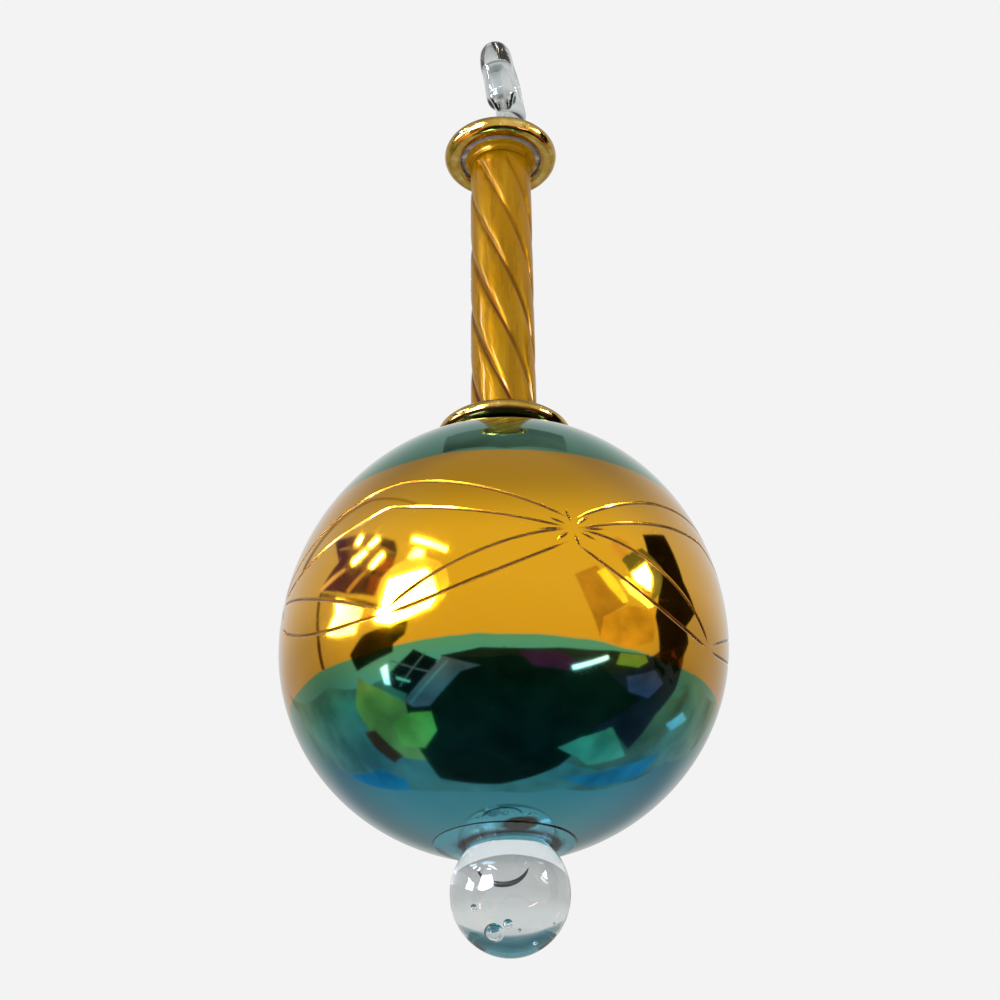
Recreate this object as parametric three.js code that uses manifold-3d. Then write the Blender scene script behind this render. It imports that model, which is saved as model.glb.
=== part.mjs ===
// Hand-blown glass ornament: a lustred globe on a twisted gold stem, with a gilt disc at each end
// of the stem, a clear hook at the top and a clear ball drop at the bottom.
// Millimetres, +Z up. The origin is the hang point, at the inside top of the hook's crook.
import * as THREE from "three";
import { mergeVertices } from "three/addons/utils/BufferGeometryUtils.js";
import Module from "manifold-3d";

const wasm = await Module();
wasm.setup();

// Gap between two pieces that touch
const gap = 0.3;

// Globe: two half ellipsoids that meet at the equator, blown a little out of true
const globeDiameter = 70;
const globeRise = 37.4;
const globeDrop = 32.4;
const globeOffset = -0.5;
const globeSkew = 0.0165;

// Lower disc: a pressed bead between the globe and the stem
const lowerDiscDiameter = 22.8;
const lowerDiscRim = 3;
const lowerDiscLift = 1.4;
const lowerDiscFootDiameter = 17;
const lowerDiscFootReach = 9;
const lowerDiscWeb = 1.5;
const lowerBossHeight = 0.6;
const lowerBossFlare = 1.3;

// Stem: a tube with grooves pressed in and then twisted
const stemDiameter = 11.2;
const stemLength = 57.4;
const stemEndChamfer = 0.25;
const grooveCount = 6;
const grooveDepth = 0.42;
const grooveSharpness = 5;
const twistPitch = 80;
const grooveFrontHeight = 32.6;
const grooveFadeLength = 2.5;

// Upper disc: a pressed bead between the stem and the hook
const upperDiscDiameter = 20.8;
const upperDiscRim = 3.4;
const upperDiscWeb = 2;
const upperBossHeight = 1.5;
const upperBossFlare = 1.6;

// Hook: a bent rod, its crook turned and leaning a little to one side
const rodDiameter = 5.6;
const rodFootFlare = 1.1;
const rodFootHeight = 2.2;
const crookRadius = 6.1;
const crookRise = 16.2;
const crookShift = 0.7;
const crookTurn = THREE.MathUtils.degToRad(12.5);
const crookLean = THREE.MathUtils.degToRad(6.8);
const crookStart = THREE.MathUtils.degToRad(-35.5);
const tipDrop = 7.7;
const tipCurl = 0.4;

// Ball drop: a solid bead, a little longer than it is wide, sunk a little into the globe's foot
const ballDiameter = 17.6;
const ballLength = 18.2;
const ballSink = 3.2;

// Facets
const globeSegments = 48;
const globeRows = 13;
const discSegments = 36;
const rimArcPoints = 9;
const bossArcPoints = 4;
const stemSegments = 48;
const stemRows = 20;
const rodSides = 14;
const rodSteps = 30;
const crookPoints = 7;
const ballSegments = 32;
const ballRows = 16;

// Heights above the globe's equator
const lowerDiscHeight = globeRise + lowerDiscLift;
const lowerDiscTop = lowerDiscHeight + lowerDiscWeb / 2 + lowerBossHeight;
const stemBottom = lowerDiscTop + gap;
const stemTop = stemBottom + stemLength;
const upperDiscHeight = stemTop + gap + upperBossHeight + upperDiscWeb / 2;
const hookBottom = upperDiscHeight + upperDiscWeb / 2 + gap;
const hangHeight = hookBottom + crookRise + crookRadius - rodDiameter / 2;
const ballHeight = -globeDrop + ballSink - ballLength / 2;

function point(radius, height) {
  return new THREE.Vector2(radius, height);
}

// Points on an arc, from one angle to another, both ends included
function arc(radius, height, size, from, to, steps) {
  const points = [];
  for (let i = 0; i <= steps; i += 1) {
    const angle = from + (to - from) * (i / steps);
    points.push(point(radius + size * Math.cos(angle), height + size * Math.sin(angle)));
  }
  return points;
}

// A profile of radius and height turned round the vertical axis
function turned(profile, segments) {
  return new THREE.LatheGeometry(profile, segments).rotateX(Math.PI / 2);
}

function toSolid(geometry) {
  const bare = geometry.clone();
  bare.deleteAttribute("normal");
  bare.deleteAttribute("uv");
  const merged = mergeVertices(bare);
  const corners = merged.index.array;
  const kept = [];
  for (let i = 0; i < corners.length; i += 3) {
    const [a, b, c] = [corners[i], corners[i + 1], corners[i + 2]];
    if (a !== b && b !== c && c !== a) {
      kept.push(a, b, c);
    }
  }
  return new wasm.Manifold(
    new wasm.Mesh({
      numProp: 3,
      vertProperties: new Float32Array(merged.attributes.position.array),
      triVerts: new Uint32Array(kept),
    }),
  );
}

function toGeometry(solid) {
  const mesh = solid.getMesh();
  const geometry = new THREE.BufferGeometry();
  geometry.setAttribute("position", new THREE.BufferAttribute(mesh.vertProperties, 3));
  geometry.setIndex(new THREE.BufferAttribute(mesh.triVerts, 1));
  geometry.computeVertexNormals();
  return geometry;
}

// The globe's surface, grown by a clearance so that its neighbours can be cut to it
function globeGeometry(clearance) {
  const radius = globeDiameter / 2 + clearance;
  const profile = [];
  for (let i = -globeRows; i <= globeRows; i += 1) {
    const angle = (i / globeRows) * (Math.PI / 2);
    const polar = (i < 0 ? globeDrop : globeRise) + clearance;
    const atPole = Math.abs(i) === globeRows;
    profile.push(point(atPole ? 0 : radius * Math.cos(angle), polar * Math.sin(angle)));
  }
  const skew = new THREE.Matrix4().makeShear(0, 0, 0, 0, globeSkew, 0);
  return turned(profile, globeSegments).applyMatrix4(skew).translate(globeOffset, 0, 0);
}

// A concave fillet that runs from a boss to the flat of its disc
function bossFillet(bossRadius, flare, faceHeight, height, side) {
  const points = [];
  for (let i = 0; i <= bossArcPoints; i += 1) {
    const angle = (i / bossArcPoints) * (Math.PI / 2);
    const out = flare * (1 - Math.cos(angle));
    const along = height * Math.sin(angle);
    points.push(point(bossRadius + out, faceHeight + side * (height - along)));
  }
  return points;
}

// The rounded rim, from the web's lower face to its upper face
function rimArc(discRadius, rim, web) {
  const half = rim / 2;
  const meet = Math.PI - Math.asin(Math.min(1, web / rim));
  return arc(discRadius - half, 0, half, -meet, meet, rimArcPoints);
}

function lowerDiscGeometry() {
  const foot = lowerDiscFootDiameter / 2;
  const rim = rimArc(lowerDiscDiameter / 2, lowerDiscRim, lowerDiscWeb);
  const face = lowerDiscWeb / 2;
  const boss = bossFillet(stemDiameter / 2, lowerBossFlare, face, lowerBossHeight, 1);
  const footBottom = -lowerDiscFootReach;
  const profile = [point(0, footBottom), point(foot, footBottom), point(foot, -face)];
  profile.push(...rim, ...boss.reverse(), point(0, face + lowerBossHeight));
  const disc = turned(profile, discSegments).translate(0, 0, lowerDiscHeight);
  return toGeometry(toSolid(disc).subtract(toSolid(globeGeometry(gap))));
}

function upperDiscGeometry() {
  const rim = rimArc(upperDiscDiameter / 2, upperDiscRim, upperDiscWeb);
  const face = upperDiscWeb / 2;
  const boss = bossFillet(stemDiameter / 2, upperBossFlare, -face, upperBossHeight, -1);
  const profile = [point(0, -face - upperBossHeight), ...boss, ...rim, point(0, face)];
  return turned(profile, discSegments).translate(0, 0, upperDiscHeight);
}

// How deep the twisted grooves are at an angle round the stem and a height above its foot
function grooveAt(angle, height) {
  const turn = angle + Math.PI / 2 + (2 * Math.PI * (height - grooveFrontHeight)) / twistPitch;
  const wave = 0.5 + 0.5 * Math.cos(grooveCount * turn);
  const fromEnd = Math.min(height, stemLength - height);
  const fade = THREE.MathUtils.smoothstep(fromEnd, 0, grooveFadeLength);
  return grooveDepth * fade * wave ** grooveSharpness;
}

function stemGeometry() {
  const radius = stemDiameter / 2;
  const profile = [point(0, 0), point(radius - stemEndChamfer, 0)];
  for (let i = 0; i <= stemRows; i += 1) {
    const height = stemEndChamfer + (stemLength - 2 * stemEndChamfer) * (i / stemRows);
    profile.push(point(radius, height));
  }
  profile.push(point(radius - stemEndChamfer, stemLength), point(0, stemLength));
  const geometry = turned(profile, stemSegments);
  const places = geometry.attributes.position;
  for (let i = 0; i < places.count; i += 1) {
    const [x, y, z] = [places.getX(i), places.getY(i), places.getZ(i)];
    const scale = 1 - grooveAt(Math.atan2(y, x), z) / radius;
    places.setXY(i, x * scale, y * scale);
  }
  return geometry.translate(0, 0, stemBottom);
}

// The rod's centreline, from its foot on the disc, over the crook and down to the tip
function hookPath() {
  const plane = new THREE.Matrix4().makeRotationZ(-crookTurn);
  plane.multiply(new THREE.Matrix4().makeRotationY(-crookLean));
  const centre = new THREE.Vector3(crookShift, 0, crookRise);
  const inPlane = (across, up) => new THREE.Vector3(0, across, up).applyMatrix4(plane).add(centre);
  const points = [new THREE.Vector3(0, 0, 0), new THREE.Vector3(0, 0, rodFootHeight)];
  for (let i = 0; i <= crookPoints; i += 1) {
    const angle = crookStart + (Math.PI - crookStart) * (i / crookPoints);
    points.push(inPlane(crookRadius * Math.cos(angle), crookRadius * Math.sin(angle)));
  }
  points.push(inPlane(tipCurl - crookRadius, -tipDrop));
  return new THREE.CatmullRomCurve3(points, false, "centripetal");
}

function hookGeometry() {
  const radius = rodDiameter / 2;
  const path = hookPath();
  const section = new THREE.Shape().absarc(0, 0, radius, 0, 2 * Math.PI);
  const rod = new THREE.ExtrudeGeometry(section, {
    curveSegments: rodSides / 2,
    steps: rodSteps,
    extrudePath: path,
    bevelEnabled: false,
  });
  const end = path.getPoint(1);
  const tip = new THREE.SphereGeometry(radius * Math.cos(Math.PI / rodSides), rodSides, rodSides / 2);
  tip.translate(end.x, end.y, end.z);
  const foot = bossFillet(radius, rodFootFlare, 0, rodFootHeight, 1).reverse();
  const flare = turned([point(0, 0), ...foot, point(0, rodFootHeight)], discSegments);
  const hook = toSolid(rod).add(toSolid(tip)).add(toSolid(flare));
  return toGeometry(hook).translate(0, 0, hookBottom);
}

function ballGeometry() {
  const radius = ballDiameter / 2;
  const profile = arc(0, 0, radius, -Math.PI / 2, Math.PI / 2, ballRows);
  profile[0].x = 0;
  profile[ballRows].x = 0;
  const ball = turned(profile, ballSegments).scale(1, 1, ballLength / ballDiameter);
  ball.translate(0, 0, ballHeight);
  return toGeometry(toSolid(ball).subtract(toSolid(globeGeometry(gap))));
}

const clearGlass = new THREE.MeshStandardMaterial({
  color: 0xd9e2e4,
  roughness: 0.05,
  metalness: 0,
  transparent: true,
  opacity: 0.4,
});
const gilt = new THREE.MeshStandardMaterial({ color: 0xc99a2e, roughness: 0.12, metalness: 1 });
const goldStem = new THREE.MeshStandardMaterial({ color: 0xb07d14, roughness: 0.2, metalness: 0.8 });
const lustre = new THREE.MeshStandardMaterial({ color: 0xc08f2a, roughness: 0.05, metalness: 1 });

function piece(name, geometry, material) {
  const mesh = new THREE.Mesh(geometry, material);
  mesh.name = name;
  return mesh;
}

const ornament = new THREE.Group();
ornament.add(
  piece("hook", hookGeometry(), clearGlass),
  piece("upper_disc", upperDiscGeometry(), gilt),
  piece("stem", stemGeometry(), goldStem),
  piece("lower_disc", lowerDiscGeometry(), gilt),
  piece("globe", globeGeometry(0), lustre),
  piece("ball_drop", ballGeometry(), clearGlass),
);
ornament.position.z = -hangHeight;

export default ornament;
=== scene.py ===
import math

import bmesh
import bpy
import numpy as np
from mathutils import Matrix, Vector
from mathutils.geometry import delaunay_2d_cdt


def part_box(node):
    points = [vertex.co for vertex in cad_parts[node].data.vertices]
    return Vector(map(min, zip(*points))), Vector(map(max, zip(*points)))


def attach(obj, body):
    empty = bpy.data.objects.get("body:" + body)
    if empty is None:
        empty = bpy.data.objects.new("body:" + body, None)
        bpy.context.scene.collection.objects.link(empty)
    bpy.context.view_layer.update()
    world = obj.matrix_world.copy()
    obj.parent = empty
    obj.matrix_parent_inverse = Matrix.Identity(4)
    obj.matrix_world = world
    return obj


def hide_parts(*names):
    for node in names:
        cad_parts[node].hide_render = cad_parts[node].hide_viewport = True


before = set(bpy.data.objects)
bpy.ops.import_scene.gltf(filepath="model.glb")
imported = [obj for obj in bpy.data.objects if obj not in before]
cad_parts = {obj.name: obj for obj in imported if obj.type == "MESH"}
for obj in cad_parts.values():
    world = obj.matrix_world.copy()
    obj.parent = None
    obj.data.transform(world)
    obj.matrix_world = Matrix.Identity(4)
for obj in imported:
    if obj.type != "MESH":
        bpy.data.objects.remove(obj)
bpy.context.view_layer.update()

MM = 0.001

# Globe, in millimetres, with heights measured from its equator
GLOBE_RADIUS = 35.0
GLOBE_RISE = 37.4
GLOBE_DROP = 32.4
GLOBE_OFFSET = -0.5
GLOBE_SKEW = 0.0165
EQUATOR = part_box("globe")[0].z / MM + GLOBE_DROP

# Colour bands on the globe
UPPER_BAND_EDGE = 18.7
LOWER_BAND_EDGE = -11.8

# Engraved cuts
CUT_HALF_WIDTH = 0.3
CUT_DEPTH = 0.13
CUT_STEP = 0.8
CUT_CLEARANCE = 0.5
ZONE_LOW = -10.0
ZONE_HIGH = 17.0
CUT_FACE_DEPTH = 0.02
SEAM_MARGIN = 5.0
WELD_DISTANCE = 0.002 * MM
GLOBE_COLUMNS = 288
GLOBE_ROWS = 120

# Lower disc
LOWER_DISC_RADIUS = 11.4
LOWER_DISC_RIM = 3.0
LOWER_DISC_LIFT = 1.4
LOWER_DISC_FOOT_RADIUS = 8.5
LOWER_DISC_WEB = 1.5
FOOT_DEPTH = 3.0
FOOT_FILLET = 0.25
LOWER_BOSS_HEIGHT = 0.6
LOWER_BOSS_FLARE = 1.3
LOWER_DISC_HEIGHT = GLOBE_RISE + LOWER_DISC_LIFT
DISC_SEGMENTS = 192
RIM_STEPS = 28
BOSS_INSET = 1.0

# Stem
STEM_RADIUS = 5.6
STEM_LENGTH = 57.4
GROOVE_COUNT = 6
GROOVE_DEPTH = 0.42
TWIST_PITCH = 80.0
GROOVE_FRONT_HEIGHT = 32.6
GROOVE_FADE = 2.5
STEM_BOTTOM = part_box("stem")[0].z / MM - EQUATOR
STEM_EDGE = 0.25
STEM_COLUMNS = 216
STEM_ROWS = 200

# Upper disc
UPPER_DISC_RADIUS = 10.4
UPPER_DISC_RIM = 3.4
UPPER_DISC_WEB = 2.0
UPPER_BOSS_HEIGHT = 1.5
UPPER_BOSS_FLARE = 1.6
UPPER_GILT_INNER = 7.5
UPPER_AMBER_OUTER = 6.7
UPPER_TOP_RING_INNER = 4.0
UPPER_DISC_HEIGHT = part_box("upper_disc")[1].z / MM - EQUATOR - UPPER_DISC_RIM / 2

# Hook
ROD_RADIUS = 2.8
ROD_FOOT_FLARE = 1.1
ROD_FOOT_HEIGHT = 2.2
CROOK_RADIUS = 6.1
CROOK_RISE = 16.2
CROOK_SHIFT = 0.7
CROOK_TURN = math.radians(12.5)
CROOK_LEAN = math.radians(6.8)
CROOK_START = math.radians(-35.5)
CROOK_POINTS = 7
TIP_DROP = 7.7
TIP_CURL = 0.4
HOOK_SIDES = 56
ROD_END_RINGS = 14
HOOK_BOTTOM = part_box("hook")[0].z / MM - EQUATOR

# Ball
BALL_RADIUS = 8.8
BALL_HALF_LENGTH = 9.1
BALL_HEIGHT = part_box("ball_drop")[0].z / MM - EQUATOR + BALL_HALF_LENGTH
COLLAR_RADIUS = 10.6
NECK_RADIUS = 6.6
COLLAR_EDGE = 0.1
COLLAR_LIP = 0.3
COLLAR_SUNK = 1.2
COLLAR_STEPS = 24
BALL_STEPS = 96

PALE = (0.896, 0.896, 0.896, 1.0)


def place(points):
    """Points in millimetres from the equator's centre, as metres in the part's frame."""
    moved = np.asarray(points, float).reshape(-1, 3) + (0.0, 0.0, EQUATOR)
    return moved * MM


def put(name, data):
    item = bpy.data.objects.new(name, data)
    bpy.context.scene.collection.objects.link(item)
    return item


def make_piece(name, points, faces, materials, slots=None):
    mesh = bpy.data.meshes.new(name)
    mesh.from_pydata([tuple(p) for p in place(points)], [], faces)
    for material in materials:
        mesh.materials.append(material)
    if slots is not None:
        mesh.polygons.foreach_set("material_index", slots)
    mesh.polygons.foreach_set("use_smooth", [True] * len(mesh.polygons))
    mesh.update()
    return put(name, mesh)


def fit(piece, node):
    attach(piece, "root")
    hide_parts(node)


def lathe(profile, segments):
    """A profile of (radius, height) pairs, from the foot up, turned round the axis."""
    points, rings, faces = [], [], []
    for radius, height in profile:
        if radius < 1e-6:
            rings.append([len(points)])
            points.append((0.0, 0.0, height))
            continue
        rings.append(list(range(len(points), len(points) + segments)))
        for j in range(segments):
            angle = 2 * math.pi * j / segments
            points.append((radius * math.cos(angle), radius * math.sin(angle), height))
    for low, high in zip(rings, rings[1:]):
        for j in range(segments):
            k = (j + 1) % segments
            if len(low) == 1 and len(high) == 1:
                continue
            if len(low) == 1:
                faces.append((low[0], high[k], high[j]))
            elif len(high) == 1:
                faces.append((low[j], low[k], high[0]))
            else:
                faces.append((low[j], low[k], high[k], high[j]))
    return points, faces


def arc(radius, height, size, start, end, steps):
    found = []
    for i in range(steps + 1):
        angle = start + (end - start) * i / steps
        found.append((radius + size * math.cos(angle), height + size * math.sin(angle)))
    return found


def smoothstep(value, low, high):
    share = np.clip((value - low) / (high - low), 0, 1)
    return share * share * (3 - 2 * share)


def through(points, step):
    """A smooth curve through the points, sampled about every step."""
    p = np.asarray(points, float)
    p = np.vstack([2 * p[0] - p[1], p, 2 * p[-1] - p[-2]])
    found = []
    for i in range(1, len(p) - 2):
        p0, p1, p2, p3 = p[i - 1], p[i], p[i + 1], p[i + 2]
        d0, d1, d2 = (max(np.linalg.norm(b - a), 1e-6) ** 0.5 for a, b in ((p0, p1), (p1, p2), (p2, p3)))
        t1 = ((p1 - p0) / d0 - (p2 - p0) / (d0 + d1) + (p2 - p1) / d1) * d1
        t2 = ((p2 - p1) / d1 - (p3 - p1) / (d1 + d2) + (p3 - p2) / d2) * d1
        count = max(1, round(np.linalg.norm(p2 - p1) / step))
        for w in np.arange(count) / count:
            found.append(
                p1 + w * t1 + w * w * (3 * (p2 - p1) - 2 * t1 - t2) + w**3 * (2 * (p1 - p2) + t1 + t2)
            )
    found.append(p[-2])
    return np.array(found)


# Camera, at the photograph's viewing angle
CAMERA_PLACE = (0.0, -229.857, -101.243)
CAMERA_PITCH = math.radians(29.182)
CAMERA_YAW = math.radians(-0.2077)
CAMERA_ROLL = math.radians(-0.6694)
CAMERA_LENS = 57.398
CAMERA_SENSOR = 36.0


def camera_axes():
    """The camera's right, up and forward directions."""
    forward = Vector(
        (
            math.sin(CAMERA_YAW) * math.cos(CAMERA_PITCH),
            math.cos(CAMERA_YAW) * math.cos(CAMERA_PITCH),
            math.sin(CAMERA_PITCH),
        )
    )
    level = Vector((math.cos(CAMERA_YAW), -math.sin(CAMERA_YAW), 0))
    upright = level.cross(forward)
    right = math.cos(CAMERA_ROLL) * level + math.sin(CAMERA_ROLL) * upright
    up = -math.sin(CAMERA_ROLL) * level + math.cos(CAMERA_ROLL) * upright
    return right, up, forward


def make_camera():
    right, up, forward = camera_axes()
    data = bpy.data.cameras.new("camera")
    data.lens = CAMERA_LENS
    data.sensor_width = CAMERA_SENSOR
    data.clip_start = 0.01
    data.clip_end = 50
    camera = put("camera", data)
    spot = place(CAMERA_PLACE)[0]
    camera.matrix_world = Matrix(
        (
            (right.x, up.x, -forward.x, spot[0]),
            (right.y, up.y, -forward.y, spot[1]),
            (right.z, up.z, -forward.z, spot[2]),
            (0, 0, 0, 1),
        )
    )
    bpy.context.scene.camera = camera


# Materials
def new_material(name, values):
    """A Principled material with these plain values."""
    material = bpy.data.materials.new(name)
    material.use_nodes = True
    tree = material.node_tree
    shader = tree.nodes["Principled BSDF"]
    for socket, value in values.items():
        shader.inputs[socket].default_value = value
    return material, tree, shader


def add(tree, kind, inputs=None, **settings):
    node = tree.nodes.new(kind)
    for key, value in settings.items():
        setattr(node, key, value)
    for key, value in (inputs or {}).items():
        if isinstance(value, bpy.types.NodeSocket):
            tree.links.new(value, node.inputs[key])
        else:
            node.inputs[key].default_value = value
    return node


def srgb(red, green, blue):
    def linear(value):
        value /= 255
        return value / 12.92 if value <= 0.04045 else ((value + 0.055) / 1.055) ** 2.4

    return (linear(red), linear(green), linear(blue), 1.0)


def ramp(tree, factor, stops):
    node = add(tree, "ShaderNodeValToRGB", {"Fac": factor})
    elements = node.color_ramp.elements
    while len(elements) < len(stops):
        elements.new(0.5)
    for element, (position, colour) in zip(elements, stops):
        element.position = position
        element.color = colour
    return node.outputs["Color"]


def noise(tree, coordinates, scale, detail=3.0, rough=0.5):
    return add(
        tree,
        "ShaderNodeTexNoise",
        {"Vector": coordinates, "Scale": scale, "Detail": detail, "Roughness": rough},
    ).outputs["Fac"]


def mapped(tree, value, low, high, to_low=0.0, to_high=1.0):
    return add(
        tree,
        "ShaderNodeMapRange",
        {"Value": value, "From Min": low, "From Max": high, "To Min": to_low, "To Max": to_high},
    ).outputs["Result"]


def mixed(tree, factor, a, b):
    node = add(tree, "ShaderNodeMix", data_type="RGBA")
    for socket, value in ((node.inputs[0], factor), (node.inputs[6], a), (node.inputs[7], b)):
        if isinstance(value, bpy.types.NodeSocket):
            tree.links.new(value, socket)
        else:
            socket.default_value = value
    return node.outputs[2]


def bumped(tree, shader, height, strength, distance):
    node = add(tree, "ShaderNodeBump", {"Height": height, "Strength": strength, "Distance": distance})
    tree.links.new(node.outputs["Normal"], shader.inputs["Normal"])


def reckoned(tree, operation, a, b, *more):
    inputs = dict(enumerate((a, b, *more)))
    return add(tree, "ShaderNodeMath", inputs, operation=operation).outputs[0]


def up_from(tree, coordinates):
    return add(tree, "ShaderNodeSeparateXYZ", {"Vector": coordinates}).outputs["Z"]


def place_of(tree):
    return add(tree, "ShaderNodeTexCoord").outputs["Object"]


def glass_material(name, tint, waviness, roughness=0.0):
    values = {"Base Color": tint, "Roughness": roughness, "IOR": 1.5, "Transmission Weight": 1.0}
    material, tree, shader = new_material(name, values)
    bumped(tree, shader, noise(tree, place_of(tree), 180, 2.0), waviness, 0.0006)
    return material


def seam_material():
    # Painted shade: the streak in the ball is coloured near black, standing in for the dark line that a seam
    # in the glass shows.
    material, tree, shader = new_material("seam", {"Roughness": 0.3})
    dark = noise(tree, place_of(tree), 900, 2.0)
    colour = ramp(tree, dark, [(0.3, srgb(10, 12, 14)), (0.8, srgb(46, 52, 56))])
    tree.links.new(colour, shader.inputs["Base Color"])
    return material


def gilt_material():
    material, tree, shader = new_material("gilt", {"Metallic": 1.0})
    coordinates = place_of(tree)
    blotches = noise(tree, coordinates, 350, 5.0, 0.6)
    colour = ramp(
        tree,
        blotches,
        [(0.3, srgb(176, 138, 44)), (0.55, srgb(206, 170, 84)), (0.75, srgb(230, 204, 134))],
    )
    height = up_from(tree, coordinates)
    # Painted shade: below the lower disc's middle the gilt turns dark brown, on the disc's underside and foot
    # next to the globe.
    under = (EQUATOR + LOWER_DISC_HEIGHT - 0.1) * MM
    colour = mixed(tree, mapped(tree, height, under, under - 0.5 * MM), colour, srgb(58, 40, 16))
    tree.links.new(colour, shader.inputs["Base Color"])
    tree.links.new(mapped(tree, blotches, 0.35, 0.7, 0.06, 0.2), shader.inputs["Roughness"])
    bumped(tree, shader, noise(tree, coordinates, 700, 2.0), 0.12, 0.0002)
    return material


def stem_material():
    values = {"Metallic": 0.25, "Specular IOR Level": 0.0}
    values.update({"Coat Weight": 0.8, "Coat Roughness": 0.04, "Coat IOR": 1.2})
    material, tree, shader = new_material("gold_stem", values)
    coordinates = place_of(tree)
    stretched = add(
        tree, "ShaderNodeMapping", {"Vector": coordinates, "Scale": (1.0, 1.0, 0.12)}
    ).outputs["Vector"]
    streaks = noise(tree, stretched, 420, 4.0, 0.6)
    clouds = noise(tree, coordinates, 90, 3.0)
    gold = ramp(
        tree,
        streaks,
        [(0.3, srgb(158, 108, 0)), (0.6, srgb(176, 124, 2)), (0.8, srgb(198, 150, 24))],
    )
    gold = mixed(tree, mapped(tree, clouds, 0.35, 0.7, 0.0, 0.35), gold, srgb(158, 124, 26))
    # Painted shade in the twisted grooves: they turn dark brown, patchy, and weaker toward the top of the
    # stem.
    groove = add(tree, "ShaderNodeAttribute", attribute_name="groove").outputs["Fac"]
    height = up_from(tree, coordinates)
    top = (EQUATOR + STEM_BOTTOM + STEM_LENGTH) * MM
    faded = mapped(tree, height, top - 22 * MM, top - 4 * MM, 1.0, 0.25)
    patchy = mapped(tree, noise(tree, coordinates, 55, 2.0), 0.42, 0.6, 0.55, 1.0)
    strength = reckoned(tree, "MULTIPLY", faded, patchy)
    line = reckoned(tree, "MULTIPLY", mapped(tree, groove, 0.1, 0.8), strength)
    colour = mixed(tree, line, gold, srgb(84, 34, 0))
    tree.links.new(colour, shader.inputs["Base Color"])
    tree.links.new(mapped(tree, streaks, 0.3, 0.7, 0.24, 0.34), shader.inputs["Roughness"])
    bumped(tree, shader, streaks, 0.1, 0.0002)
    return material


def lustre_material():
    values = {"Metallic": 1.0, "Coat Weight": 1.0, "Coat Roughness": 0.05, "Coat IOR": 1.22}
    material, tree, shader = new_material("mirror_lustre", values)
    coordinates = place_of(tree)
    height = up_from(tree, coordinates)
    wobble = mapped(tree, noise(tree, coordinates, 60, 3.0), 0.3, 0.7, -0.0003, 0.0003)
    level = reckoned(tree, "ADD", height, wobble)
    span = GLOBE_RISE + GLOBE_DROP

    def stop(height, colour):
        return ((height + GLOBE_DROP) / span, colour)

    share = mapped(tree, level, (EQUATOR - GLOBE_DROP) * MM, (EQUATOR + GLOBE_RISE) * MM)
    bands = ramp(
        tree,
        share,
        [
            stop(-31.0, srgb(62, 150, 164)),
            stop(-24.0, srgb(2, 140, 172)),
            stop(-17.0, srgb(30, 146, 134)),
            stop(LOWER_BAND_EDGE - 0.15, srgb(84, 146, 92)),
            stop(LOWER_BAND_EDGE + 0.15, srgb(220, 156, 4)),
            stop(-4.0, srgb(228, 166, 8)),
            stop(8.0, srgb(226, 166, 10)),
            stop(UPPER_BAND_EDGE - 0.15, srgb(214, 156, 4)),
            stop(UPPER_BAND_EDGE + 0.15, srgb(84, 150, 118)),
            stop(24.0, srgb(94, 184, 168)),
            stop(36.0, srgb(102, 182, 176)),
        ],
    )
    clouds = noise(tree, coordinates, 45, 4.0, 0.55)
    bands = mixed(tree, mapped(tree, clouds, 0.4, 0.75, 0.0, 0.05), bands, srgb(225, 205, 150))
    spot = tuple(v * MM for v in (DARK_SPOT[0], DARK_SPOT[1], DARK_SPOT[2] + EQUATOR))
    offset = add(tree, "ShaderNodeVectorMath", {0: coordinates, 1: spot}, operation="SUBTRACT").outputs[0]
    stretch = {0: offset, 1: (1.0, 1.6, 1.0)}
    offset = add(tree, "ShaderNodeVectorMath", stretch, operation="MULTIPLY").outputs[0]
    away = add(tree, "ShaderNodeVectorMath", {0: offset}, operation="LENGTH").outputs["Value"]
    away = reckoned(tree, "ADD", away, mapped(tree, clouds, 0.3, 0.7, -0.0007, 0.0007))
    bands = mixed(tree, mapped(tree, away, 0.0034, 0.0026), bands, srgb(40, 30, 10))
    # Painted shade in the engraved cuts: their colour turns dark brown; they are also rougher than the
    # lustre.
    cut = add(tree, "ShaderNodeAttribute", attribute_name="cut").outputs["Fac"]
    colour = mixed(tree, mapped(tree, cut, 0.1, 0.6), bands, srgb(98, 64, 20))
    tree.links.new(colour, shader.inputs["Base Color"])
    polish = mapped(tree, clouds, 0.35, 0.7, 0.05, 0.09)
    rough = reckoned(tree, "MULTIPLY_ADD", cut, 0.6, polish)
    tree.links.new(rough, shader.inputs["Roughness"])
    bumped(tree, shader, noise(tree, coordinates, 38, 2.0), 0.05, 0.002)
    return material


# A dark brown spot on the lustre, low on the front near the edge of the ball's collar, in millimetres from
# the globe's middle
DARK_SPOT = (1.5, -9.8, -31.1)

# Engraving, as azimuth in degrees and height in millimetres; the front is at -90
STAR_AZIMUTH = -73.5
STAR_HEIGHT = 3.9
STAR_REACH = 1.0
END_GAP = 0.2
SPAN = 90.0
HIGH_FOOT = 5.4
HIGH_CROWN = 13.9
LOW_FOOT = 3.9
LEFT_LOW_CROWN = 9.4
RIGHT_LOW_CROWN = 9.9
UPPER_POINT = -6.9
LOWER_POINT = -7.4
CUT_PARTS = 8
STAR_RAY_INNER = 1.1
STAR_RAY_OUTER = 5.4


def late(start, end, power):
    """Points of a cut that keeps level at its start and turns near its end."""
    shares = np.linspace(0, 1, CUT_PARTS + 1)
    return [(start[0] + (end[0] - start[0]) * s, start[1] + (end[1] - start[1]) * s**power) for s in shares]


def early(start, end, power):
    """Points of a cut that turns near its start and keeps level at its end."""
    return late(end, start, power)[::-1]


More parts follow.
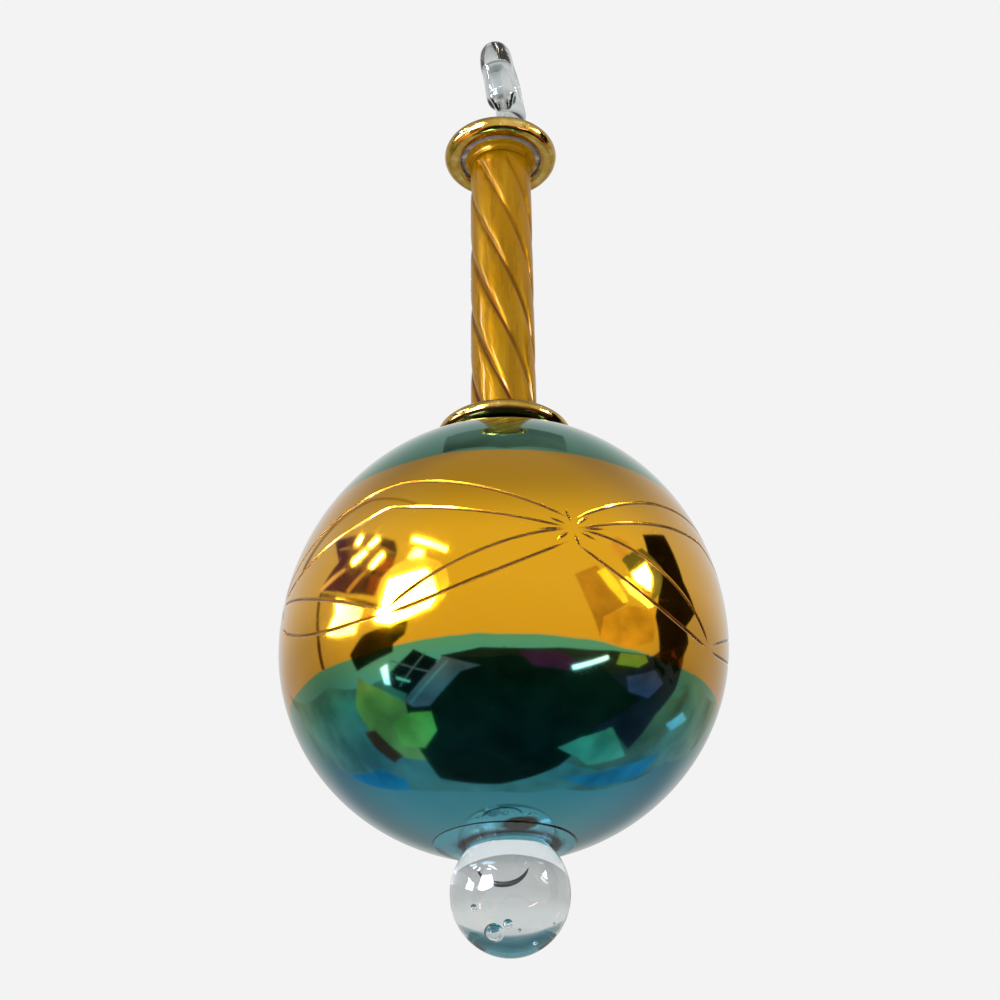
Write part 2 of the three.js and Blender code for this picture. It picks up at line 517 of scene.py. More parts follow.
def left_cuts():
    """The cuts from the front star to the one on its left."""
    star, middle, far = STAR_AZIMUTH, STAR_AZIMUTH - SPAN / 2, STAR_AZIMUTH - SPAN
    near, back = star - STAR_REACH, far + STAR_REACH
    crown, low_crown = (middle, HIGH_CROWN), (middle, LEFT_LOW_CROWN)
    return [
        early((star - END_GAP, HIGH_FOOT), crown, 1.5) + late(crown, (far + END_GAP, HIGH_FOOT), 1.5)[1:],
        late((near, LOW_FOOT), low_crown, 1.1) + early(low_crown, (back, LOW_FOOT), 1.1)[1:],
        late((near, LOW_FOOT - 0.3), (middle + END_GAP, UPPER_POINT), 1.38),
        early((near, 1.7), (middle + END_GAP, LOWER_POINT), 1.6),
        early((middle - END_GAP, UPPER_POINT), (back, LOW_FOOT - 0.6), 1.15),
        late((middle - END_GAP, LOWER_POINT), (back, -0.4), 3),
    ]


def right_cuts():
    """The cuts from the front star to the one on its right."""
    star, middle, far = STAR_AZIMUTH, STAR_AZIMUTH + SPAN / 2, STAR_AZIMUTH + SPAN
    near, back = star + STAR_REACH, far - STAR_REACH
    crown, low_crown = (middle, HIGH_CROWN), (middle, RIGHT_LOW_CROWN)
    return [
        early((star + END_GAP, HIGH_FOOT), crown, 2.05) + late(crown, (far - END_GAP, HIGH_FOOT), 1.5)[1:],
        early((near, LOW_FOOT), low_crown, 1.6) + early(low_crown, (back, LOW_FOOT), 1.25)[1:],
        late((near, LOW_FOOT - 0.1), (middle - END_GAP, UPPER_POINT), 1.7),
        early((star + END_GAP, 1.6), (middle - END_GAP, LOWER_POINT), 2),
        early((middle + END_GAP, UPPER_POINT), (back, LOW_FOOT - 0.3), 1.38),
        late((middle + END_GAP, LOWER_POINT), (back, 1.7), 1.6),
    ]


def engraved_lines():
    """Each cut's middle line, in millimetres along the equator and up."""
    around = math.radians(1) * GLOBE_RADIUS
    cuts = []
    for turn in (0, 180):
        for line in left_cuts() + right_cuts():
            cuts.append([((azimuth + turn) * around, height) for azimuth, height in line])
    for quarter in range(4):
        star = (STAR_AZIMUTH + 90 * quarter) * around
        for angle in range(8):
            bearing = math.radians(angle * 45 + 11)
            reach = STAR_RAY_OUTER * (0.8 if angle % 2 else 1.0)
            across, up = math.cos(bearing), math.sin(bearing)
            cuts.append(
                [
                    (star + across * STAR_RAY_INNER, STAR_HEIGHT + up * STAR_RAY_INNER * 0.8),
                    (star + across * reach, STAR_HEIGHT + up * reach * 0.62),
                ]
            )
    return [through(cut, CUT_STEP) for cut in cuts]


def tapers(line):
    """How full a cut is at each of its points: it runs out to nothing at both ends."""
    steps = np.linalg.norm(np.diff(line, axis=0), axis=1)
    along = np.concatenate([[0], np.cumsum(steps)])
    length = along[-1]
    ease = min(3.0, length * 0.4)
    from_end = np.minimum(along, length - along)
    return smoothstep(from_end, 0, ease)


def cut_depths(points, lines, tapered):
    """Depth at each point as a share of the full depth, and its distance from the nearest cut."""
    depth = np.zeros(len(points))
    nearest = np.full(len(points), 1e9)
    for line, full in zip(lines, tapered):
        low, high = line.min(0) - 2, line.max(0) + 2
        near = np.nonzero(np.all((points > low) & (points < high), axis=1))[0]
        if len(near) == 0:
            continue
        p = points[near]
        for a, b, fa, fb in zip(line, line[1:], full, full[1:]):
            d = b - a
            share = np.clip(((p - a) @ d) / (d @ d), 0, 1)
            away = np.linalg.norm(p - (a + share[:, None] * d), axis=1)
            width = fa + share * (fb - fa)
            here = width - away / CUT_HALF_WIDTH
            depth[near] = np.maximum(depth[near], here)
            nearest[near] = np.minimum(nearest[near], away)
    return np.clip(depth, 0, 1), nearest


def globe_point(azimuth, height):
    rise = np.where(height > 0, GLOBE_RISE, GLOBE_DROP)
    radius = GLOBE_RADIUS * np.sqrt(np.clip(1 - (height / rise) ** 2, 0, 1))
    x = radius * np.cos(azimuth) + GLOBE_OFFSET + GLOBE_SKEW * height
    return np.stack([x, radius * np.sin(azimuth), height], axis=-1)


def globe_normal(points):
    z = points[:, 2]
    rise = np.where(z > 0, GLOBE_RISE, GLOBE_DROP)
    across = (points[:, 0] - GLOBE_OFFSET - GLOBE_SKEW * z) / GLOBE_RADIUS**2
    normal = np.stack([across, points[:, 1] / GLOBE_RADIUS**2, z / rise**2 - GLOBE_SKEW * across], axis=-1)
    return normal / np.linalg.norm(normal, axis=1)[:, None]


def seam_start():
    """The seam of the unrolled globe is at the back."""
    return -1.5 * math.pi * GLOBE_RADIUS


def wrapped_cuts():
    """The cuts and how full they are, also a whole turn on where they reach over the seam."""
    girth = 2 * math.pi * GLOBE_RADIUS
    lines, widths = [], []
    for line in engraved_lines():
        for turn in (-girth, 0, girth):
            moved = line + (turn, 0)
            after_start = moved[:, 0].max() > seam_start() - SEAM_MARGIN
            if after_start and moved[:, 0].min() < seam_start() + girth + SEAM_MARGIN:
                lines.append(moved)
                widths.append(tapers(line))
    return lines, widths


def zone_lines(columns, zone, lines, widths):
    """Points and fixed edges of the engraved zone: a plain grid, its sides, and three lines to a cut."""
    grid = np.array([(u, h) for h in zone for u in columns])
    _, nearest = cut_depths(grid, lines, widths)
    on_side = (grid[:, 0] == columns[0]) | (grid[:, 0] == columns[-1])
    on_end = (grid[:, 1] == zone[0]) | (grid[:, 1] == zone[-1])
    flat = [tuple(p) for p in grid[(nearest > CUT_CLEARANCE) | on_side | on_end]]
    number = {tuple(p): i for i, p in enumerate(flat)}
    edges = []
    for u in (columns[0], columns[-1]):
        edges += [(number[(u, low)], number[(u, high)]) for low, high in zip(zone, zone[1:])]
    for line, full in zip(lines, widths):
        forward = np.gradient(line, axis=0)
        forward /= np.linalg.norm(forward, axis=1)[:, None]
        side = np.stack([-forward[:, 1], forward[:, 0]], axis=1)
        first, last = len(flat), len(flat) + 1
        flat += [tuple(line[0]), tuple(line[-1])]
        for offset in (-1, 0, 1):
            inner = line[1:-1] + offset * CUT_HALF_WIDTH * full[1:-1, None] * side[1:-1]
            run = [first, *range(len(flat), len(flat) + len(inner)), last]
            flat += [tuple(p) for p in inner]
            edges += list(zip(run, run[1:]))
    return flat, edges


def engraved_zone(columns, zone):
    """The zone with its cuts pressed in: points, triangles, and the depth at each as a share."""
    lines, widths = wrapped_cuts()
    flat, edges = zone_lines(columns, zone, lines, widths)
    found = delaunay_2d_cdt([Vector(p) for p in flat], edges, [], 0, 1e-5, False)
    plane = np.array([tuple(v) for v in found[0]])
    triangles = np.array(found[2])
    middle = plane[triangles].mean(axis=1)
    low, high = (columns[0], zone[0]), (columns[-1], zone[-1])
    triangles = triangles[np.all((middle > low) & (middle < high), axis=1)]
    depth, _ = cut_depths(plane, lines, widths)
    face_depth, _ = cut_depths(plane[triangles].mean(axis=1), lines, widths)
    surface = globe_point(plane[:, 0] / GLOBE_RADIUS, plane[:, 1])
    points = surface - globe_normal(surface) * (CUT_DEPTH * depth)[:, None]
    return points, triangles, depth, face_depth


def globe_caps(columns, heights, zone):
    """The plain ends of the globe, below and above the engraved zone."""
    points, faces = [], []
    ring = columns[:-1] / GLOBE_RADIUS
    for side in (-1, 1):
        rows = [h for h in heights if (h <= zone[0] + 1e-6 if side < 0 else h >= zone[-1] - 1e-6)]
        rows = rows if side < 0 else rows[::-1]
        pole = len(points)
        points.append(globe_point(np.array(0.0), np.array(rows[0])))
        for h in rows[1:]:
            points.extend(globe_point(ring, np.full(len(ring), h)))
        for i in range(len(rows) - 1):
            base = pole + 1 + i * GLOBE_COLUMNS
            under = base - GLOBE_COLUMNS
            for j in range(GLOBE_COLUMNS):
                k = (j + 1) % GLOBE_COLUMNS
                face = (under + j, under + k, base + k, base + j) if i else (pole, base + k, base + j)
                faces.append(face if side < 0 else face[::-1])
    return np.array(points), faces


def weld(mesh):
    """Joins the seam and the caps to the zone, and drops points that no face uses."""
    work = bmesh.new()
    work.from_mesh(mesh)
    bmesh.ops.remove_doubles(work, verts=work.verts, dist=WELD_DISTANCE)
    loose = [v for v in work.verts if not v.link_faces]
    bmesh.ops.delete(work, geom=loose, context="VERTS")
    work.to_mesh(mesh)
    work.free()
    mesh.update()


def read_values(items, name, width=1, kind=float):
    found = np.zeros(len(items) * width, kind)
    items.foreach_get(name, found)
    return found


def set_normals(mesh):
    """The globe's own smooth normals, and flat ones inside the cuts."""
    places = read_values(mesh.vertices, "co", 3).reshape(-1, 3) / MM - (0, 0, EQUATOR)
    split = globe_normal(places)[read_values(mesh.loops, "vertex_index", kind=int)]
    face_normals = read_values(mesh.polygons, "normal", 3).reshape(-1, 3)
    owner = np.repeat(np.arange(len(mesh.polygons)), read_values(mesh.polygons, "loop_total", kind=int))
    carved = read_values(mesh.attributes["in_cut"].data, "value", kind=int)[owner] == 1
    split[carved] = face_normals[owner[carved]]
    mesh.normals_split_custom_set([tuple(n) for n in split])
    mesh.attributes.remove(mesh.attributes["in_cut"])


def make_globe():
    angles = np.linspace(-math.pi / 2, math.pi / 2, GLOBE_ROWS + 1)
    heights = np.where(angles > 0, GLOBE_RISE, GLOBE_DROP) * np.sin(angles)
    zone = [h for h in heights if ZONE_LOW <= h <= ZONE_HIGH]
    columns = seam_start() + 2 * math.pi * GLOBE_RADIUS * np.arange(GLOBE_COLUMNS + 1) / GLOBE_COLUMNS
    points, triangles, depth, face_depth = engraved_zone(columns, zone)
    cap_points, cap_faces = globe_caps(columns, heights, zone)
    faces = [tuple(int(i) for i in t) for t in triangles]
    faces += [tuple(i + len(points) for i in f) for f in cap_faces]
    points = np.vstack([points, cap_points])
    piece = make_piece("globe_lustre", points, faces, [MATERIALS["mirror_lustre"]])
    mesh = piece.data
    cut_values = np.concatenate([depth, np.zeros(len(cap_points))])
    in_cut = np.concatenate([face_depth > CUT_FACE_DEPTH, np.zeros(len(cap_faces), bool)])
    mesh.attributes.new("cut", "FLOAT", "POINT").data.foreach_set("value", cut_values)
    mesh.attributes.new("in_cut", "INT", "FACE").data.foreach_set("value", in_cut.astype(int))
    weld(mesh)
    set_normals(mesh)
    fit(piece, "globe")


def boss_fillet(radius, flare, face, height, side, steps):
    found = []
    for i in range(steps + 1):
        angle = (i / steps) * (math.pi / 2)
        out = flare * (1 - math.cos(angle))
        up = height * math.sin(angle)
        found.append((radius + out, face + side * (height - up)))
    return found


def rim_arc(radius, rim, web, steps):
    half = rim / 2
    meet = math.pi - math.asin(min(1, web / rim))
    return arc(radius - half, 0, half, -meet, meet, steps)


def raised(profile, height):
    return [(r, z + height) for r, z in profile]


def make_lower_disc():
    face = LOWER_DISC_WEB / 2
    top = face + LOWER_BOSS_HEIGHT
    foot = -LOWER_DISC_LIFT - FOOT_DEPTH
    neck = -face - FOOT_FILLET
    profile = [(0, foot), (LOWER_DISC_FOOT_RADIUS, foot), (LOWER_DISC_FOOT_RADIUS, neck)]
    profile += arc(LOWER_DISC_FOOT_RADIUS + FOOT_FILLET, neck, FOOT_FILLET, math.pi, math.pi / 2, 5)[1:]
    profile += rim_arc(LOWER_DISC_RADIUS, LOWER_DISC_RIM, LOWER_DISC_WEB, RIM_STEPS)
    profile += boss_fillet(STEM_RADIUS, LOWER_BOSS_FLARE, face, LOWER_BOSS_HEIGHT, 1, 10)[::-1]
    profile += [(STEM_RADIUS - BOSS_INSET, top), (0, top)]
    points, faces = lathe(raised(profile, LOWER_DISC_HEIGHT), DISC_SEGMENTS)
    piece = make_piece("lower_disc_gilt", points, faces, [MATERIALS["gilt"]])
    fit(piece, "lower_disc")


def make_upper_disc():
    face = UPPER_DISC_WEB / 2
    bottom = -face - UPPER_BOSS_HEIGHT
    profile = [(0, bottom), (STEM_RADIUS - BOSS_INSET, bottom)]
    profile += boss_fillet(STEM_RADIUS, UPPER_BOSS_FLARE, -face, UPPER_BOSS_HEIGHT, -1, 12)
    profile += [(UPPER_GILT_INNER, -face)]
    profile += rim_arc(UPPER_DISC_RADIUS, UPPER_DISC_RIM, UPPER_DISC_WEB, RIM_STEPS)
    profile += [(UPPER_GILT_INNER, face), (UPPER_TOP_RING_INNER, face), (0, face)]
    points, faces = lathe(raised(profile, UPPER_DISC_HEIGHT), DISC_SEGMENTS)
    slots = []
    for f in faces:
        reach = max(math.hypot(points[i][0], points[i][1]) for i in f)
        slots.append(0 if reach > UPPER_GILT_INNER + 0.01 else 1 if reach > UPPER_AMBER_OUTER else 2)
    materials = [MATERIALS["gilt"], MATERIALS["bare_ring"], MATERIALS["gold_stem"]]
    piece = make_piece("upper_disc_gilt", points, faces, materials, slots)
    fit(piece, "upper_disc")


def groove_at(angle, height):
    """How deep the twisted grooves are at a place, and how strong the painted shade in them is, both as
    shares.
    """
    turn = angle + math.pi / 2 + 2 * math.pi * (height - GROOVE_FRONT_HEIGHT) / TWIST_PITCH
    wave = 0.5 + 0.5 * np.cos(GROOVE_COUNT * turn)
    fade = smoothstep(np.minimum(height, STEM_LENGTH - height), 0, GROOVE_FADE)
    return fade * (0.55 * wave**5 + 0.45 * wave**30), fade * wave**14


def make_stem():
    profile = [(0.0, 0.0), (STEM_RADIUS - STEM_EDGE, 0.0)]
    for i in range(STEM_ROWS + 1):
        profile.append((STEM_RADIUS, STEM_EDGE + (STEM_LENGTH - 2 * STEM_EDGE) * i / STEM_ROWS))
    profile += [(STEM_RADIUS - STEM_EDGE, STEM_LENGTH), (0.0, STEM_LENGTH)]
    points, faces = lathe(profile, STEM_COLUMNS)
    points = np.array(points)
    radius = np.hypot(points[:, 0], points[:, 1])
    off_axis = radius > 1
    depth, dark = groove_at(np.arctan2(points[:, 1], points[:, 0]), points[:, 2])
    points[:, :2] *= (1 - GROOVE_DEPTH * depth / STEM_RADIUS * off_axis)[:, None]
    points[:, 2] += STEM_BOTTOM
    piece = make_piece("stem_twist", points, faces, [MATERIALS["gold_stem"]])
    # The groove attribute carries the grooves' painted shade to the stem's material.
    piece.data.attributes.new("groove", "FLOAT", "POINT").data.foreach_set("value", dark * off_axis)
    fit(piece, "stem")


def hook_line():
    turn, lean = CROOK_TURN, CROOK_LEAN

    def in_plane(across, up):
        x, z = -up * math.sin(lean), up * math.cos(lean)
        y = across
        return (
            x * math.cos(turn) + y * math.sin(turn) + CROOK_SHIFT,
            -x * math.sin(turn) + y * math.cos(turn),
            z + CROOK_RISE,
        )

    points = [(0, 0, 0), (0, 0, ROD_FOOT_HEIGHT)]
    for i in range(CROOK_POINTS + 1):
        angle = CROOK_START + (math.pi - CROOK_START) * i / CROOK_POINTS
        points.append(in_plane(CROOK_RADIUS * math.cos(angle), CROOK_RADIUS * math.sin(angle)))
    points.append(in_plane(TIP_CURL - CROOK_RADIUS, -TIP_DROP))
    return through(points, 0.3)


def rod_sections(line):
    """Centre, two sides and radius of each ring along the rod and its round tip, and the tip's end."""
    forward = np.gradient(line, axis=0)
    forward /= np.linalg.norm(forward, axis=1)[:, None]
    along = np.concatenate([[0], np.cumsum(np.linalg.norm(np.diff(line, axis=0), axis=1))])
    side = np.array([1.0, 0.0, 0.0])
    sections = []
    for centre, ahead, height in zip(line, forward, along):
        side = side - ahead * (side @ ahead)
        side /= np.linalg.norm(side)
        flare = 0.0
        if height < ROD_FOOT_HEIGHT:
            flare = ROD_FOOT_FLARE * (1 - math.sqrt(1 - (1 - height / ROD_FOOT_HEIGHT) ** 2))
        swell = 0.05 * math.sin(height * 0.9) + 0.04 * math.sin(height * 0.37 + 1.0)
        sections.append((centre, side, np.cross(ahead, side), ROD_RADIUS + flare + swell))
    end, u, v, reach = sections[-1]
    for i in range(1, ROD_END_RINGS):
        angle = (i / ROD_END_RINGS) * (math.pi / 2)
        sections.append((end + forward[-1] * reach * math.sin(angle), u, v, reach * math.cos(angle)))
    return sections, end + forward[-1] * reach


def tube_faces(rings, sides):
    faces = []
    for low in range(0, (rings - 1) * sides, sides):
        for j in range(sides):
            k = (j + 1) % sides
            faces.append((low + j, low + k, low + sides + k, low + sides + j))
    return faces


def make_hook():
    line = hook_line()
    sections, tip_end = rod_sections(line)
    points = []
    for centre, u, v, radius in sections:
        for j in range(HOOK_SIDES):
            angle = 2 * math.pi * j / HOOK_SIDES
            points.append(centre + radius * (math.cos(angle) * u + math.sin(angle) * v))
    faces = tube_faces(len(sections), HOOK_SIDES)
    foot, tip, last = len(points), len(points) + 1, len(points) - HOOK_SIDES
    points += [line[0], tip_end]
    for j in range(HOOK_SIDES):
        k = (j + 1) % HOOK_SIDES
        faces += [(foot, k, j), (tip, last + j, last + k)]
    points = np.array(points) + (0, 0, HOOK_BOTTOM)
    piece = make_piece("hook_rod", points, faces, [MATERIALS["clear_glass"]])
    fit(piece, "hook")


# The dark bow in the ball, as the camera sees it: its middle across and up, and how deep it lies
STREAK_PLACE = (-1.0, 4.1)
STREAK_SIZE = (3.6, 2.9)
STREAK_START = 196
STREAK_SWEEP = 150
STREAK_TILT = math.radians(15.3)
STREAK_DEPTH = 1.0
STREAK_THICKNESS = 0.36
STREAK_STEPS = 48
STREAK_SIDES = 16

# Bubbles in the ball: across, towards the back and up from its middle, and the radius
BUBBLES = [
    (-1.9, -1.0, -4.8, 1.15),
    (-0.3, -1.6, -3.9, 0.55),
    (-4.2, -2.0, -2.2, 0.45),
    (2.6, 1.0, -5.2, 0.3),
    (1.1, -3.4, -5.6, 0.22),
]
BUBBLE_RINGS = 24
BALL_SEGMENTS = 144


def make_streak():
    """A streak under the neck, bent like a bow and thin at its ends, coloured near black as painted shade."""
    points = []
    toward = Vector((0, -math.cos(STREAK_TILT), -math.sin(STREAK_TILT)))
    up = Vector((0, -math.sin(STREAK_TILT), math.cos(STREAK_TILT)))
    right = Vector((1, 0, 0))
    for i in range(STREAK_STEPS + 1):
        share = i / STREAK_STEPS
        angle = math.radians(STREAK_START + STREAK_SWEEP * share)
        a = STREAK_PLACE[0] + STREAK_SIZE[0] * math.cos(angle)
        b = STREAK_PLACE[1] + STREAK_SIZE[1] * math.sin(angle)
        outward = right * math.cos(angle) + up * math.sin(angle)
        depth = math.sqrt(BALL_RADIUS**2 - a * a - b * b) - STREAK_DEPTH
        centre = right * a + up * b + toward * depth
        thick = STREAK_THICKNESS * math.sin(math.pi * share) ** 0.7 + 0.02
        for j in range(STREAK_SIDES):
            spin = 2 * math.pi * j / STREAK_SIDES
            points.append(tuple(centre + (outward * math.cos(spin) + toward * math.sin(spin) * 0.6) * thick))
    faces = tube_faces(STREAK_STEPS + 1, STREAK_SIDES)
    faces.append(tuple(reversed(range(STREAK_SIDES))))
    faces.append(tuple(STREAK_STEPS * STREAK_SIDES + j for j in range(STREAK_SIDES)))
    return points, faces


def under_globe(radius):
    return -GLOBE_DROP * math.sqrt(1 - (radius / GLOBE_RADIUS) ** 2)


def ball_profile():
    """The ball from its foot to the neck."""
    neck = math.acos(NECK_RADIUS / BALL_RADIUS)
    profile = [(0.0, -BALL_HALF_LENGTH)]
    for i in range(1, BALL_STEPS + 1):
        angle = -math.pi / 2 + (neck + math.pi / 2) * i / BALL_STEPS
        profile.append((BALL_RADIUS * math.cos(angle), BALL_HALF_LENGTH * math.sin(angle)))
    return raised(profile, BALL_HEIGHT)


def collar_profile(start):
    """The collar, which spreads from the neck's height along the globe's underside."""
    profile = []
    gap = under_globe(NECK_RADIUS) - start - COLLAR_EDGE
    for i in range(1, COLLAR_STEPS + 1):
        share = i / COLLAR_STEPS
        radius = NECK_RADIUS + (COLLAR_RADIUS - NECK_RADIUS) * share
        profile.append((radius, under_globe(radius) - COLLAR_EDGE - gap * (1 - share) ** 3))
    edge = profile[-1][1]
    top = edge + COLLAR_SUNK
    return profile + [(COLLAR_RADIUS + COLLAR_LIP, edge + COLLAR_LIP), (COLLAR_RADIUS - 0.6, top), (0.0, top)]


def make_bubble(radius):
    profile = []
    for i in range(BUBBLE_RINGS + 1):
        angle = -math.pi / 2 + math.pi * i / BUBBLE_RINGS
        profile.append((0 if i in (0, BUBBLE_RINGS) else radius * math.cos(angle), radius * math.sin(angle)))
    return lathe(profile, 40)


def make_ball():
    profile = ball_profile()
    neck_height = profile[-1][1]
    profile += collar_profile(neck_height)
    points, faces = lathe(profile, BALL_SEGMENTS)
    lean = GLOBE_OFFSET - GLOBE_SKEW * GLOBE_DROP
    span = profile[-1][1] - neck_height
    points = [(x + lean * max(0.0, min(1.0, (z - neck_height) / span)) ** 0.5, y, z) for x, y, z in points]
    inside = [((x, y, z), *make_bubble(radius)) for x, y, z, radius in BUBBLES]
    inside.append(((0, 0, 0), *make_streak()))
    for (x, y, z), shell, shell_faces in inside:
        start = len(points)
        points += [(px + x, py + y, pz + z + BALL_HEIGHT) for px, py, pz in shell]
        faces += [tuple(i + start for i in reversed(f)) for f in shell_faces]
    slots = [0] * (len(faces) - len(inside[-1][2])) + [1] * len(inside[-1][2])
    piece = make_piece("ball_glass", points, faces, [MATERIALS["clear_glass"], MATERIALS["seam"]], slots)
    fit(piece, "ball_drop")


# Studio: a tent and cards that the camera can't see and that only reflections and glass show
TENT_RADIUS = 1400.0
TENT_STEP = 5.0
TENT_SIDES = 0.92
TENT_OVERHEAD = 0.5
CARD_DIM = 0.62
CARD_LIT = 1.35
CARD_STEP = 0.06
DARKEST_SEEN_THROUGH = 0.05
FLOOR_HALF = 40000.0
FLOOR_LEVEL = -400.0


def light_material(name):
    """A material that only gives light, and its tree and lamp node."""
    material = bpy.data.materials.new(name)
    material.use_nodes = True
    tree = material.node_tree
    tree.nodes.clear()
    lamp = add(tree, "ShaderNodeEmission")
    out = add(tree, "ShaderNodeOutputMaterial")
    tree.links.new(lamp.outputs["Emission"], out.inputs["Surface"])
    material.cycles.emission_sampling = "NONE"
    return material, tree, lamp


def emitter(name, colour, strength):
    """Light for a card, cloudy so that no reflection is one flat patch."""
    material, tree, lamp = light_material(name)
    clouds = noise(tree, place_of(tree), 3.2, 3.0, 0.5)
    dim = tuple(v * CARD_DIM for v in colour[:3]) + (1.0,)
    lit = tuple(v * CARD_LIT for v in colour[:3]) + (1.0,)
    light = ramp(tree, clouds, [(0.34, dim), (0.5, tuple(colour)), (0.68, lit)])
    tree.links.new(light, lamp.inputs["Color"])
    lamp.inputs["Strength"].default_value = strength
    return material


def direction(azimuth, elevation):
    a, e = math.radians(azimuth), math.radians(elevation)
    return np.array([math.cos(a) * math.cos(e), math.sin(a) * math.cos(e), math.sin(e)])


def mirrored(close_up, corner, distance):
    """Where the globe mirrors a dome of this size to a point of the photo, as a direction."""
    left, top, magnification = close_up
    across = (left + corner[0] / magnification) / PHOTO_WIDTH - 0.5
    down = (top + corner[1] / magnification) / PHOTO_WIDTH - 0.5
    right, up, forward = (np.array(axis) for axis in camera_axes())
    ray = forward * CAMERA_LENS + (right * across - up * down) * CAMERA_SENSOR
    ray /= np.linalg.norm(ray)
    eye = np.array(CAMERA_PLACE)
    for half, side in ((GLOBE_RISE, 1), (GLOBE_DROP, -1)):
        size = np.array([GLOBE_RADIUS, GLOBE_RADIUS, half])
        start = (eye - (GLOBE_OFFSET + GLOBE_SKEW * eye[2], 0, 0)) / size
        step = (ray - (GLOBE_SKEW * ray[2], 0, 0)) / size
        found = (start @ step) ** 2 - (step @ step) * (start @ start - 1)
        spot = eye - ray * (start @ step + math.sqrt(max(found, 0))) / (step @ step)
        if spot[2] * side >= 0:
            break
    normal = globe_normal(spot[None])[0]
    away = ray - 2 * (ray @ normal) * normal
    run = spot @ away
    reach = math.sqrt(run**2 - spot @ spot + distance**2) - run
    return (spot + away * reach) / distance


def within(points, outline):
    """Which of the points lie inside the closed outline."""
    inside = np.zeros(len(points), bool)
    for (ax, ay), (bx, by) in zip(outline, np.roll(outline, -1, axis=0)):
        crossed = (ay > points[:, 1]) != (by > points[:, 1])
        meets = ax + (points[:, 1] - ay) * (bx - ax) / ((by - ay) or 1.0)
        inside ^= crossed & (points[:, 0] < meets)
    return inside


def card(name, distance, towards, colour, strength=1.0):
    """A card on a dome round the globe, with its corners in these directions."""
    towards = np.array(towards)
    axis = towards.mean(axis=0)
    axis /= np.linalg.norm(axis)
    side = np.cross(axis, (0.0, 0.0, 1.0))
    side /= np.linalg.norm(side)
    up = np.cross(side, axis)
    spread = 1 + towards @ axis
    outline = np.stack([towards @ side / spread, towards @ up / spread], axis=1)
    flat = []
    for a, b in zip(outline, np.roll(outline, -1, axis=0)):
        count = max(1, math.ceil(np.linalg.norm(b - a) / CARD_STEP))
        flat += [tuple(a + (b - a) * i / count) for i in range(count)]
    edges = [(i, (i + 1) % len(flat)) for i in range(len(flat))]
    low, high = outline.min(axis=0), outline.max(axis=0)
    across, upward = np.arange(low[0], high[0], CARD_STEP), np.arange(low[1], high[1], CARD_STEP)
    grid = np.array([(x, y) for x in across for y in upward])
    flat += [tuple(p) for p in grid[within(grid, outline)]]
    found = delaunay_2d_cdt([Vector(p) for p in flat], edges, [], 0, 1e-6, False)
    plane = np.array([tuple(v) for v in found[0]])
    triangles = np.array(found[2])
    triangles = triangles[within(plane[triangles].mean(axis=1), outline)]
    square = (plane**2).sum(axis=1)[:, None]
    points = (2 * plane[:, :1] * side + 2 * plane[:, 1:] * up + (1 - square) * axis) / (1 + square)
    faces = [tuple(int(i) for i in t) for t in triangles]
    return show_card(name, points * distance, faces, emitter(name, colour, strength))


def show_card(name, points, faces, material):
    mesh = bpy.data.meshes.new(name)
    mesh.from_pydata([tuple(p) for p in place(points)], [], faces)
    mesh.materials.append(material)
    item = put(name, mesh)
    item.visible_camera = False
    item.visible_diffuse = False
    item.visible_shadow = False
    return item


def tent_light(azimuth, elevation):
    """How bright the tent is: darker overhead and behind, and darkest behind a little below level."""
    overhead = float(smoothstep(elevation, 34, 66))
    front = 0.5 - 0.5 * math.sin(math.radians(azimuth))
    low = float(smoothstep(elevation, -40, -12) * (1 - smoothstep(elevation, 10, 27)))
    behind = 0.6 + 0.16 * float(smoothstep(elevation, -12, 4)) - 0.2 * low
    value = TENT_SIDES * (1 - overhead) + TENT_OVERHEAD * overhead
    return value * (behind + (1 - behind) * float(smoothstep(front, 0.3, 0.75)))


def make_tent():
    """A dome that gives every reflection its soft light."""
    azimuths = np.arange(0, 360, TENT_STEP)
    elevations = np.arange(-90, 91, TENT_STEP)
    points, faces, light = [], [], []
    for e in elevations:
        for a in azimuths:
            points.append(direction(a, e) * TENT_RADIUS)
            value = tent_light(a, e)
            light.append((value, value * 0.99, value * 0.965, 1.0))
    for base in range(0, (len(elevations) - 1) * len(azimuths), len(azimuths)):
        above = base + len(azimuths)
        for j in range(len(azimuths)):
            k = (j + 1) % len(azimuths)
            faces.append((base + j, base + k, above + k, above + j))
    material, tree, lamp = light_material("tent")
    colour = add(tree, "ShaderNodeAttribute", attribute_name="light").outputs["Color"]
    tree.links.new(colour, lamp.inputs["Color"])
    item = show_card("tent", points, faces, material)
    values = item.data.attributes.new("light", "FLOAT_COLOR", "POINT").data
    values.foreach_set("color", np.array(light).ravel())


# The photo is square. The outlines of the room's reflections were picked on close-ups of it, which
# are given by left, top and magnification
PHOTO_WIDTH = 1000
WHOLE = (0, 0, 1)
LEFT_SIDE = (300, 480, 6)
RIGHT_SIDE = (555, 510, 6)
LOWER_SIDE = (300, 640, 4)


def bar(start, end, width):
    """The corners of a thin bar between two points of a close-up."""
    start, end = np.array(start, float), np.array(end, float)
    way = (end - start) / np.linalg.norm(end - start)
    side = np.array([-way[1], way[0]]) * width / 2
    return [start + side, end + side, end - side, start - side]


def oval(x, y, long, short, tilt, count):
    """Corners round an oval patch of light."""
    corners = []
    for i in range(count):
        along, across = long * math.cos(2 * math.pi * i / count), short * math.sin(2 * math.pi * i / count)
        right = x + along * math.cos(tilt) - across * math.sin(tilt)
        corners.append((right, y + along * math.sin(tilt) + across * math.cos(tilt)))
    return corners


# The ground card's near edge is behind the camera: azimuth and elevation in degrees
GROUND_FRONT = [(25, -3), (-12, -22), (-40, -26), (-89, -28), (-142, -26), (168, -10)]

